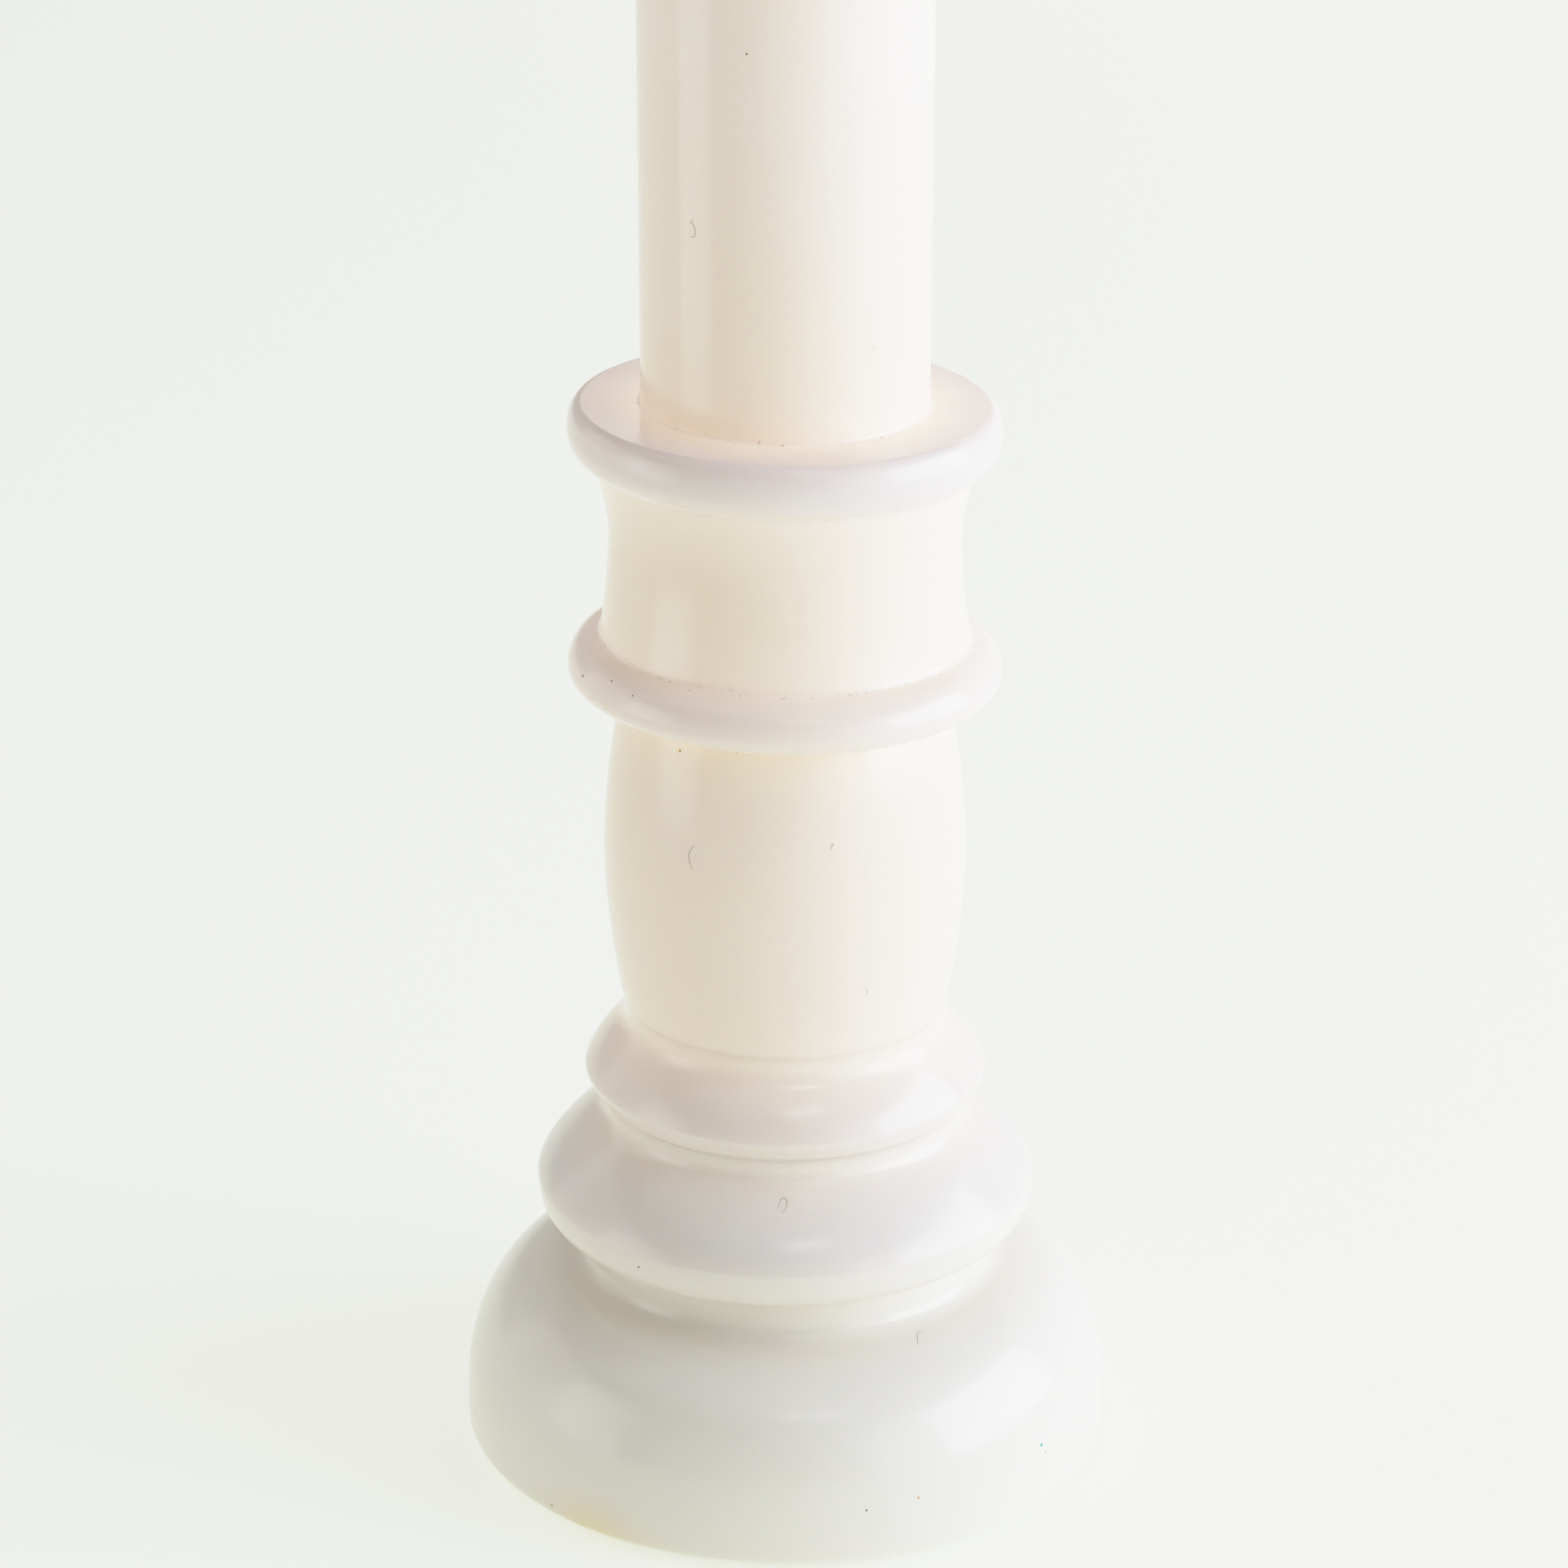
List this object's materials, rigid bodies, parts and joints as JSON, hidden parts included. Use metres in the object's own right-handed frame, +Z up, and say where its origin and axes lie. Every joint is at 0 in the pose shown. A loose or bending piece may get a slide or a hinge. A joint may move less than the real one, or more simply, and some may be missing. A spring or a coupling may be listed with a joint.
{
  "type": "candlestick",
  "caption": "Tall turned candlestick: domed foot, tori, baluster, bead, spool, collar, round column and a cup with a brass socket for a taper candle.",
  "frame": {"origin": "middle of the felt pad's underside, on the surface the candlestick stands on", "axes": "+Z up along the turning axis; X and Y are any two directions across it"},
  "size_m": [0.095, 0.095, 0.3155],
  "materials": {
    "cream_lacquer": "satin cream lacquer over turned wood",
    "brass": "satin",
    "zinc_steel": "zinc plated",
    "spring_steel": "oiled black",
    "felt": "pressed wool felt"
  },
  "bodies": {
    "root": {"felt_pad": "felt", "foot": "cream_lacquer", "large_torus": "cream_lacquer", "small_torus": "cream_lacquer", "baluster": "cream_lacquer", "lower_bead": "cream_lacquer", "spool": "cream_lacquer", "collar": "cream_lacquer", "column": "cream_lacquer", "upper_bead": "cream_lacquer", "candle_cup": "cream_lacquer", "drip_rim": "cream_lacquer", "candle_socket": "brass", "tie_rod": "zinc_steel", "foot_washer": "zinc_steel", "foot_lock_washer": "spring_steel", "foot_nut": "zinc_steel", "cup_washer": "zinc_steel", "cup_nut": "zinc_steel"}
  },
  "joints": []
}
